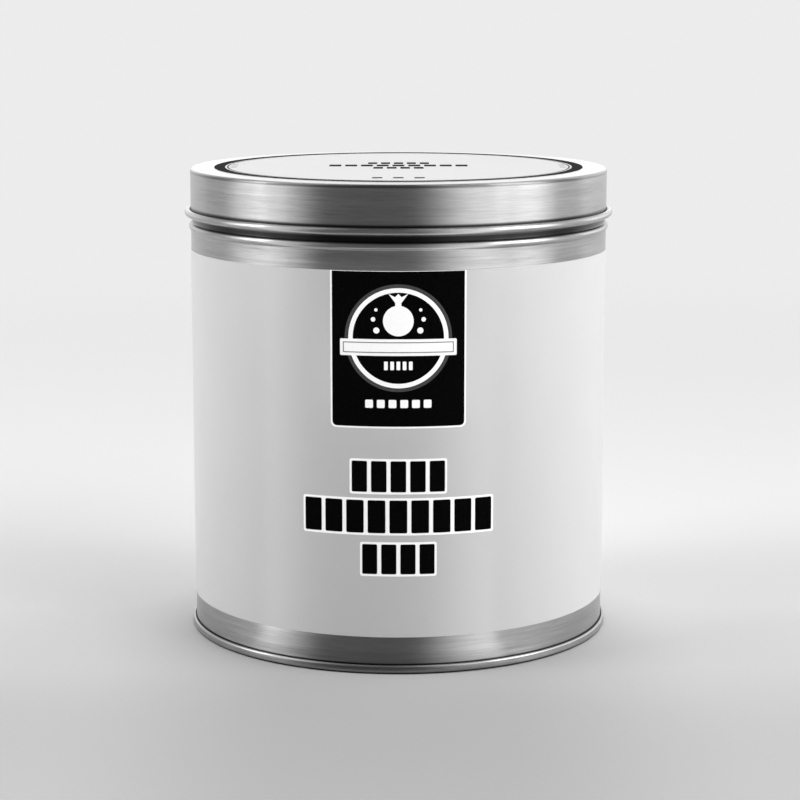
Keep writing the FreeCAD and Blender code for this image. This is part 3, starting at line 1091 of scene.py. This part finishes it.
def studio_world():
    """A studio with bright walls right, left and behind, which the camera sees as one pale tone."""
    world = bpy.data.worlds.new("studio")
    bpy.context.scene.world = world
    world.use_nodes = True
    tree = world.node_tree
    background = tree.nodes["Background"]
    where = tree.nodes.new("ShaderNodeTexCoord").outputs["Generated"]

    def ramp(direction, start, stop, top):
        toward = tree.nodes.new("ShaderNodeVectorMath")
        toward.operation = "DOT_PRODUCT"
        toward.inputs[1].default_value = direction
        tree.links.new(where, toward.inputs[0])
        rise = tree.nodes.new("ShaderNodeMapRange")
        rise.interpolation_type = "SMOOTHSTEP"
        rise.inputs["From Min"].default_value = start
        rise.inputs["From Max"].default_value = stop
        rise.inputs["To Max"].default_value = top
        tree.links.new(toward.outputs["Value"], rise.inputs["Value"])
        return rise.outputs[0]

    def together(operation, first, second):
        node = tree.nodes.new("ShaderNodeMath")
        node.operation = operation
        tree.links.new(first, node.inputs[0])
        tree.links.new(second, node.inputs[1])
        return node.outputs[0]

    left = ramp((-1.0, 0.0, 0.0), 0.3, 0.9, 1.4)
    right = ramp((1.0, 0.0, 0.0), 0.3, 0.9, 2.8)
    behind = ramp((0.0, 1.0, 0.0), 0.6, 0.97, 1.3)
    above_floor = ramp((0.0, 0.0, 1.0), -0.2, -0.1, 1.0)
    walls = together("ADD", together("ADD", left, right), behind)
    glow = together("MULTIPLY", walls, above_floor)
    seen = tree.nodes.new("ShaderNodeMix")
    tree.links.new(tree.nodes.new("ShaderNodeLightPath").outputs["Is Camera Ray"], seen.inputs[0])
    tree.links.new(glow, seen.inputs[2])
    seen.inputs[3].default_value = PALE
    tree.links.new(seen.outputs[0], background.inputs["Strength"])
    background.inputs["Color"].default_value = (1.0, 1.0, 1.0, 1.0)


CARD_RADIUS = 75 * MM
CARD = 1 * MM


def stage_card(name, mesh, nodes, glow):
    """Stage a card that only reflections see, with this glow."""
    weave = nodes.noise(nodes.position()[0], 900.0, 3.0)
    nodes.colour(nodes.mix(weave, neutral(0.0), neutral(0.004)))
    nodes.join(glow, nodes.shader.inputs["Emission Strength"])
    nodes.set(Roughness=1.0, Specular_IOR_Level=0.0, Emission_Color=(1.0, 1.0, 1.0, 1.0))
    mesh.materials.append(nodes.material)
    piece = bpy.data.objects.new(name, mesh)
    for kind in ("camera", "diffuse", "shadow", "transmission", "volume_scatter"):
        setattr(piece, f"visible_{kind}", False)
    bpy.context.scene.collection.objects.link(piece)


def upright_card(middle, half_angle, radius, foot, head):
    """A thin card bent round the tin, its middle turned by some degrees from the front."""
    outline = [(radius, foot), (radius + CARD, foot), (radius + CARD, head), (radius, head)]
    start = FRONT + math.radians(middle - half_angle)
    return finish_mesh(spin(outline, start, math.radians(2 * half_angle), 12))


def side_flags():
    """Dim cards beside the tin, so that its lid darkens just inside its outline."""
    for side, middle, glow in (("left", -79.0, 0.75), ("right", 70.0, 1.0)):
        mesh = upright_card(middle, half_angle=9.0, radius=CARD_RADIUS, foot=0.1, head=0.3)
        nodes = Nodes(f"flag_{side}")
        stage_card(f"flag_{side}", mesh, nodes, nodes.spread(nodes.position()[3], glow, glow * 1.2))


def back_card():
    """A bright card behind the tin, which lights the lid's flat rim by reflection."""
    mesh = upright_card(180.0, half_angle=22.0, radius=0.4, foot=0.14, head=0.36)
    nodes = Nodes("back_card")
    stage_card("back_card", mesh, nodes, nodes.spread(nodes.position()[3], 1.9, 2.3))


def graded_card():
    """A card round the tin's front, seen only in reflections: dark in the middle, paler at its ends
    and lighter low down, so that the beads catch a light line underneath."""
    apron = 56 * MM
    head = 0.9
    start = math.radians(-50.0) + FRONT
    turn = math.radians(84.0)
    outline = [(apron, CARD / 2), (CARD_RADIUS + CARD, CARD / 2), (CARD_RADIUS + CARD, head),
               (CARD_RADIUS, head), (CARD_RADIUS, CARD), (apron, CARD)]
    mesh = finish_mesh(spin(outline, start, turn, 28))
    nodes = Nodes("graded_card")
    place, x, y, z = nodes.position()
    turned = nodes.math("ARCTAN2", x, nodes.math("MULTIPLY", y, -1.0))
    left = nodes.spread(turned, 1.4, 0.0, math.radians(-52.0), math.radians(-24.0), smooth=True)
    right = nodes.spread(turned, 0.0, 1.45, math.radians(4.0), math.radians(32.0), smooth=True)
    middle = nodes.math("ADD", nodes.math("ADD", left, right), 0.165)
    at_foot = nodes.spread(nodes.length(x, y), 0.1, 1.2, 57 * MM, 64 * MM, smooth=True)
    glow = nodes.math("MULTIPLY", middle, at_foot)
    rising = nodes.spread(z, 0.0, 1.5, 56 * MM, 66 * MM, smooth=True)
    falling = nodes.spread(z, 1.0, 0.0, 76 * MM, 91 * MM, smooth=True)
    in_front = nodes.spread(nodes.math("ABSOLUTE", turned), 1.0, 0.0, math.radians(16.0),
                            math.radians(34.0), smooth=True)
    low = nodes.math("MULTIPLY", nodes.math("MULTIPLY", rising, falling), in_front)
    stage_card("graded_card", mesh, nodes, nodes.math("ADD", glow, low))


def area_light(name, place, aim, width, tall, power):
    """A soft rectangular light that the camera doesn't see."""
    light = bpy.data.lights.new(name, "AREA")
    light.shape = "RECTANGLE"
    light.size = width
    light.size_y = tall
    light.energy = power
    holder = bpy.data.objects.new(name, light)
    holder.location = place
    holder.rotation_euler = (Vector(aim) - Vector(place)).to_track_quat("-Z", "Y").to_euler()
    holder.visible_camera = False
    bpy.context.scene.collection.objects.link(holder)


def softbox(degrees, power):
    """An upright softbox round the tin; 0 degrees is on the camera's side and 90 on the right."""
    distance = 0.9
    height = 0.5
    angle = math.radians(degrees)
    place = (distance * math.sin(angle), -distance * math.cos(angle), height)
    side = "left" if degrees < 0 else "right"
    area_light(f"softbox_{side}_{abs(degrees)}", place, aim=(0.0, 0.0, TOP / 2), width=0.35,
               tall=0.8, power=power)


def lights():
    """Softboxes on both sides and a light over the tin's back."""
    for degrees, power in ((-87, 3.1), (-70, 4.7), (30, 1.3), (50, 3.2), (74, 3.9)):
        softbox(degrees, power)
    area_light("back_top", (0.0, 1.0, 1.2), aim=(0.0, 0.3, 0.0), width=1.0, tall=0.8, power=5.0)


def camera():
    """A long lens a little above the tin, looking down at it from the front."""
    aside = 0.4 * MM
    distance = 0.6242
    height = 0.1707
    looking_down = 10.15
    data = bpy.data.cameras.new("camera")
    data.lens = 107.8
    data.sensor_width = 36.0
    holder = bpy.data.objects.new("camera", data)
    holder.location = (aside, -distance, height)
    holder.rotation_euler = (math.radians(90.0 - looking_down), 0.0, 0.0)
    bpy.context.scene.collection.objects.link(holder)
    bpy.context.scene.camera = holder


floor()
graded_card()
side_flags()
back_card()
studio_world()
lights()
camera()
bpy.context.scene.view_settings.view_transform = "Standard"

bpy.context.view_layer.update()
